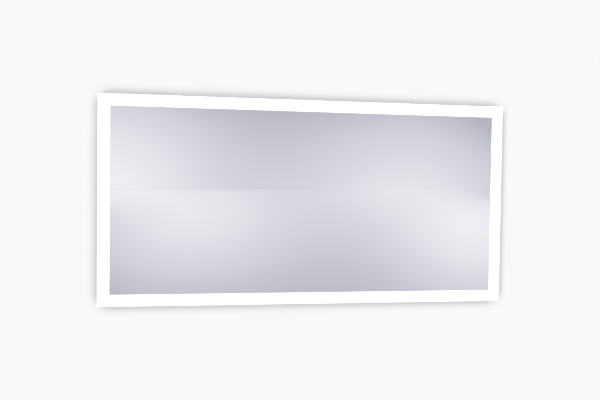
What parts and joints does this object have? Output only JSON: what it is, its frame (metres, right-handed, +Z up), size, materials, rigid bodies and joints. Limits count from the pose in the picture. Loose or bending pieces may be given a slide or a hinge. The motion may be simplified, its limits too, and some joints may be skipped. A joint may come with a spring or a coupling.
{
  "type": "illuminated wall mirror",
  "caption": "Wide rectangular wall mirror with a flat lit border, a slim channel frame, an enclosed rear with driver and cable entry, and a hook-on wall rail.",
  "frame": {"origin": "on the wall plane, in the middle of the line through the wall rail's two screw slots; the mirror's own centre is 252 mm below it", "axes": "+X to the viewer's right along the mirror's long side, +Y into the wall, +Z up"},
  "size_m": [1.2, 0.038, 0.6038],
  "materials": {
    "white_powder_coat": "satin powder coat",
    "opal_acrylic": "satin opal, lit",
    "silvered_glass": "polished",
    "foam_tape": "closed-cell foam",
    "galvanised_steel": "galvanised",
    "white_circuit_board": "white solder mask on aluminium",
    "led_package": "phosphor under clear silicone, lit",
    "white_ribbon": "flat flexible cable",
    "natural_nylon": "moulded",
    "bare_aluminium": "mill finish",
    "zinc_screws": "bright zinc plate",
    "driver_plastic": "fine spark texture",
    "green_circuit_board": "green solder mask",
    "dark_components": "sleeved parts",
    "grey_nylon": "moulded",
    "pale_cover_plastic": "moulded",
    "black_rubber": "satin",
    "grey_rubber": "satin",
    "brass_screws": "turned",
    "white_lead": "PVC sheath",
    "white_switch_plastic": "moulded"
  },
  "bodies": {
    "wall_mount": {"wall_rail": "galvanised_steel"},
    "mirror": {"frame_rail_top": "white_powder_coat", "frame_rail_bottom": "white_powder_coat", "frame_stile_left": "white_powder_coat", "frame_stile_right": "white_powder_coat", "light_cover_top": "opal_acrylic", "light_cover_bottom": "opal_acrylic", "light_cover_left": "opal_acrylic", "light_cover_right": "opal_acrylic", "mirror_glass": "silvered_glass", "glass_bond_tape": "foam_tape", "brace_left": "galvanised_steel", "brace_right": "galvanised_steel", "brace_pads": "foam_tape", "led_board_top": "white_circuit_board", "led_board_bottom": "white_circuit_board", "led_board_left": "white_circuit_board", "led_board_right": "white_circuit_board", "leds_top": "led_package", "leds_bottom": "led_package", "leds_left": "led_package", "leds_right": "led_package", "led_link_ribbons": "white_ribbon", "led_feed_connector": "natural_nylon", "corner_keys": "bare_aluminium", "corner_key_screws": "zinc_screws", "rear_panel": "galvanised_steel", "rear_panel_screws": "zinc_screws", "driver_base": "driver_plastic", "driver_cover": "driver_plastic", "driver_circuit_board": "green_circuit_board", "driver_components": "dark_components", "driver_terminals": "grey_nylon", "driver_screws": "zinc_screws", "connection_box": "grey_nylon", "connection_box_cover": "pale_cover_plastic", "connection_box_screws": "zinc_screws", "cable_grommet": "black_rubber", "terminal_block": "natural_nylon", "terminal_screws": "brass_screws", "mains_lead": "white_lead", "led_feed_lead": "white_lead", "switch_lead": "white_lead", "lead_bushes": "black_rubber", "lead_clips": "natural_nylon", "switch_body": "white_switch_plastic", "hook_rail": "galvanised_steel", "hook_rail_screws": "zinc_screws", "wall_bumpers": "grey_rubber"},
    "rocker": {"switch_rocker": "white_switch_plastic"}
  },
  "joints": [
    {"name": "lift_off", "type": "slide", "parent": "wall_mount", "child": "mirror", "axis": [0, 0, 1], "range_m": [0, 0.008]},
    {"name": "rocker_pivot", "type": "hinge", "parent": "mirror", "child": "rocker", "pos_m": [-0.15, -0.0123, -0.5514], "axis": [0, 1, 0], "range_deg": [0, 22]}
  ]
}
